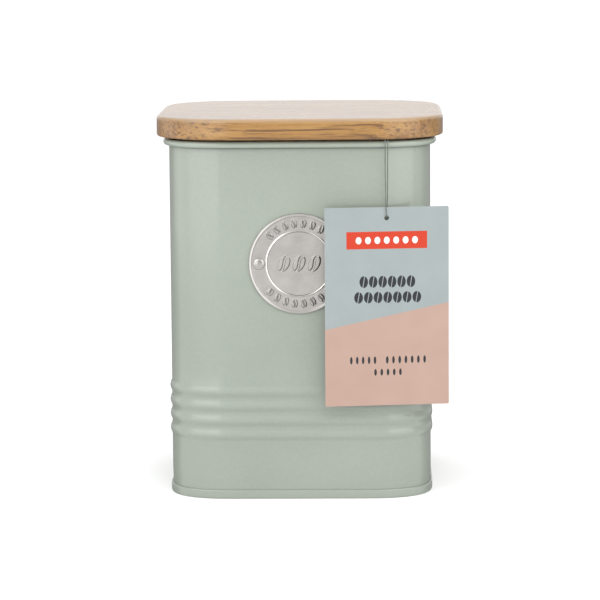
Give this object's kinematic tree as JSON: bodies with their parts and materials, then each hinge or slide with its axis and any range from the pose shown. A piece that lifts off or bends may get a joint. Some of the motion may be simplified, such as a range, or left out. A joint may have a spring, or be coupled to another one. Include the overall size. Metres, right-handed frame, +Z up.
{
  "type": "coffee tin",
  "caption": "Square-section steel kitchen canister with rounded corners, rolled rim, swaged beads, riveted badge, sealed bamboo lid and hanging card tag.",
  "frame": {"origin": "middle of the tin's footprint, on the surface it stands on", "axes": "+Z up through the lid, -Y out of the front that carries the badge, +X to the right seen from the front"},
  "size_m": [0.1211, 0.1218, 0.157],
  "materials": {
    "green_enamel": "satin lacquer",
    "base_enamel": "satin lacquer",
    "badge_metal": "embossed, satin",
    "rivet_metal": "polished",
    "bamboo": "oiled bamboo",
    "plug_bamboo": "bamboo",
    "silicone": "translucent silicone",
    "thread": "twisted thread",
    "card": "coated card, matt"
  },
  "bodies": {
    "tin": {"tin_body": "green_enamel", "base_plate": "base_enamel", "badge_plate": "badge_metal", "badge_rivets": "rivet_metal"},
    "lid": {"lid_strip_1": "bamboo", "lid_strip_2": "bamboo", "lid_strip_3": "bamboo", "lid_strip_4": "bamboo", "lid_strip_5": "bamboo", "lid_strip_6": "bamboo", "lid_plug": "plug_bamboo", "lid_gasket": "silicone", "thread_tails": "thread", "thread_knot": "thread"},
    "thread": {"thread_loop": "thread"},
    "tag": {"tag_card": "card"}
  },
  "joints": [
    {"name": "lid_lift", "type": "slide", "parent": "tin", "child": "lid", "axis": [0, 0, 1], "range_m": [0, 0.06]},
    {"name": "thread_swing", "type": "hinge", "parent": "lid", "child": "thread", "pos_m": [0.0358, -0.0581, 0.1481], "axis": [-1, 0, 0], "range_deg": [0, 80]},
    {"name": "tag_sway", "type": "hinge", "parent": "thread", "child": "tag", "pos_m": [0.0358, -0.0581, 0.1173], "axis": [0.1392, -0.9903, 0], "range_deg": [-30, 30]}
  ]
}
